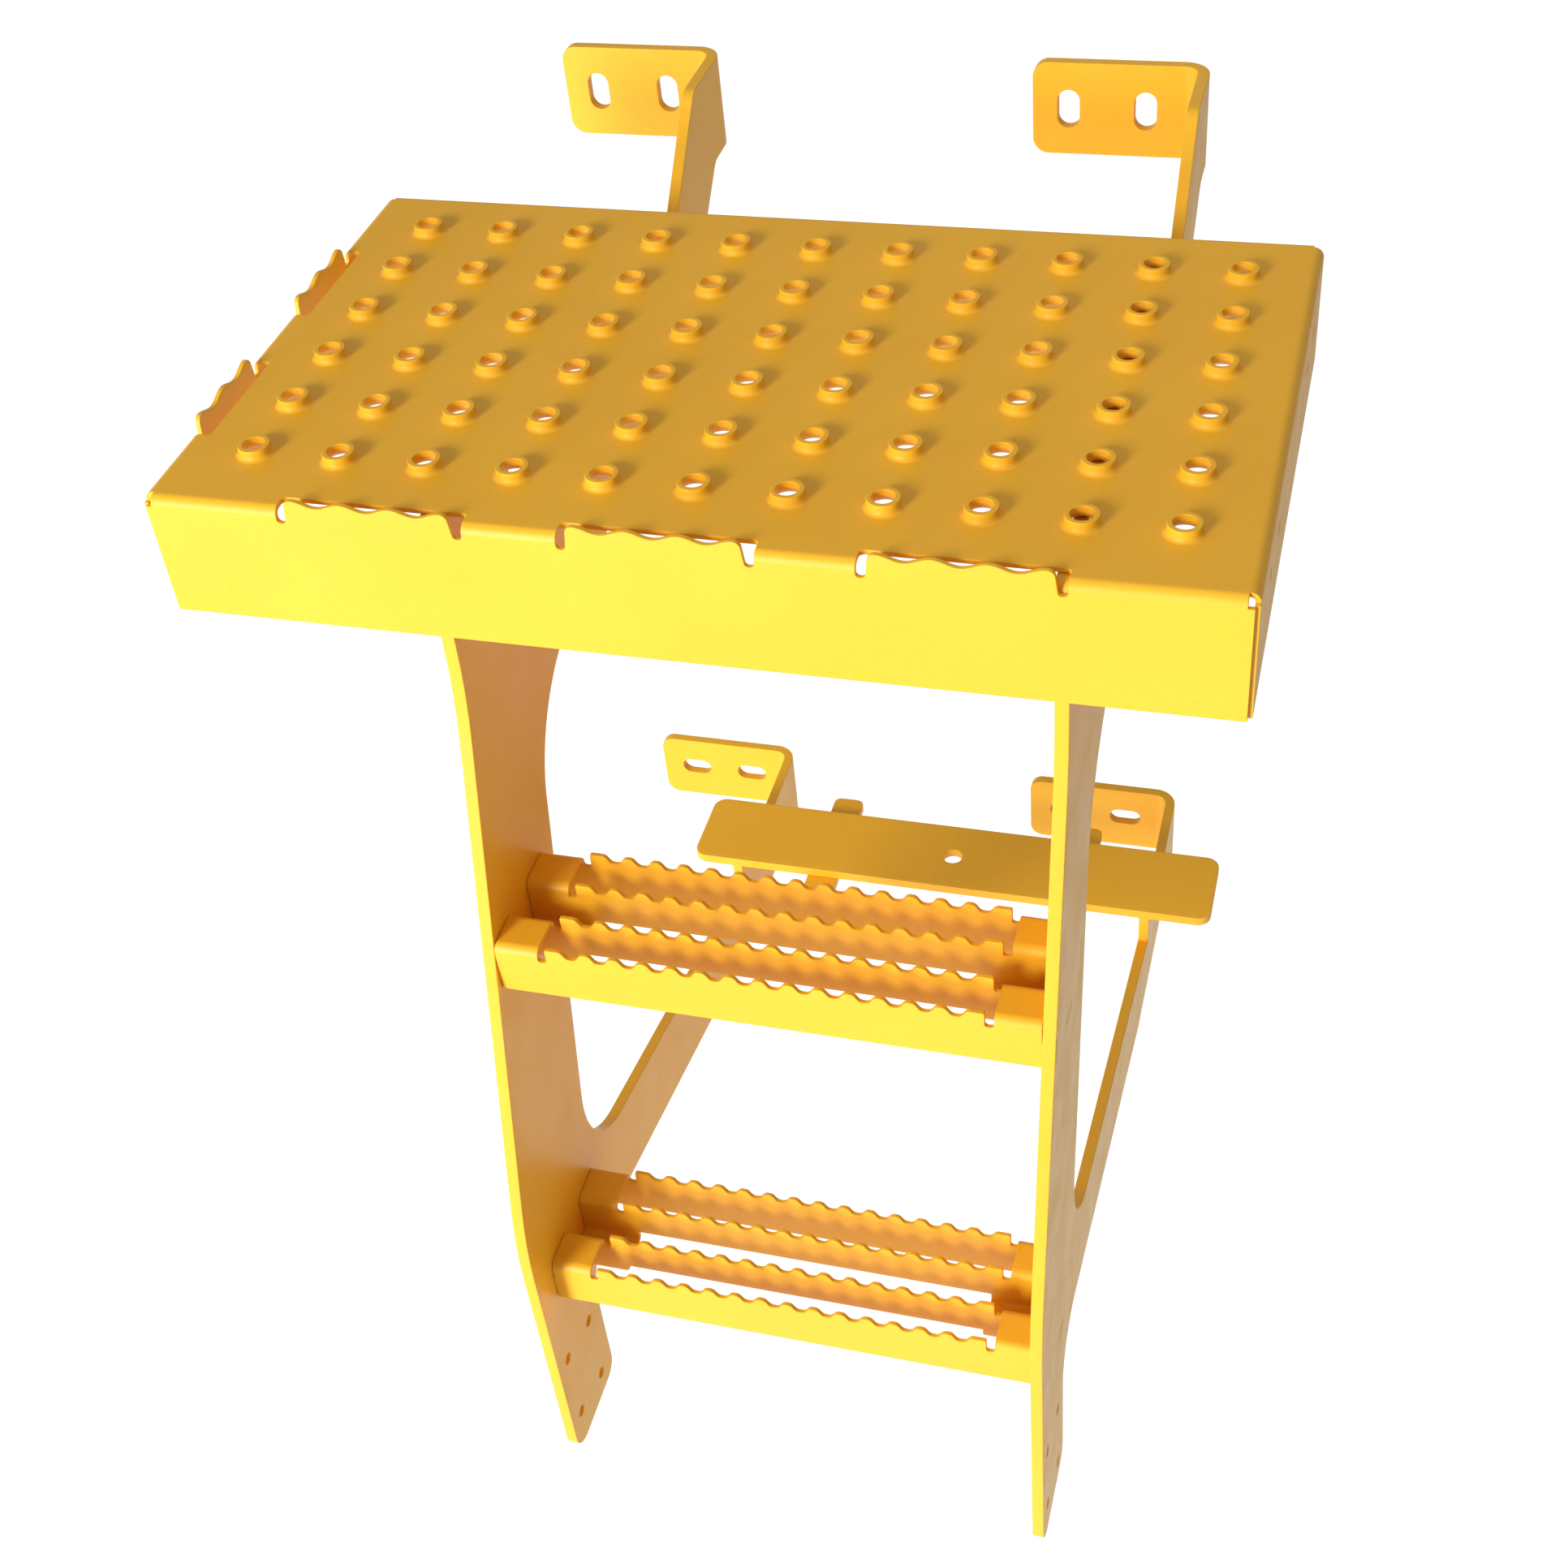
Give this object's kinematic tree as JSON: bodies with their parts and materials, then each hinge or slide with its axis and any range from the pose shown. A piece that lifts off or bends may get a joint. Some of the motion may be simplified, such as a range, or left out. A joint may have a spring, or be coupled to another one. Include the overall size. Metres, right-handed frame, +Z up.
{
  "type": "bolt-on access step",
  "caption": "Bolt-on machine access step: two bent side plates carry a punched platform, serrated treads and a rear shelf.",
  "frame": {"origin": "centre of the left side plate's upper wall flange, on its back face, midway between its slots", "axes": "+Y into the wall that the step is bolted to, +Z up, +X along the platform to the right side plate"},
  "size_m": [0.6111, 0.6609, 0.7886],
  "materials": {
    "plate_coat": "satin",
    "sheet_coat": "satin"
  },
  "bodies": {
    "root": {"side_plate_left": "plate_coat", "side_plate_right": "plate_coat", "platform_deck": "sheet_coat", "upper_tread": "sheet_coat", "lower_tread": "sheet_coat", "shelf_plate": "plate_coat", "shelf_bar_left": "plate_coat", "shelf_bar_right": "plate_coat", "rear_tie_plate": "plate_coat"}
  },
  "joints": []
}
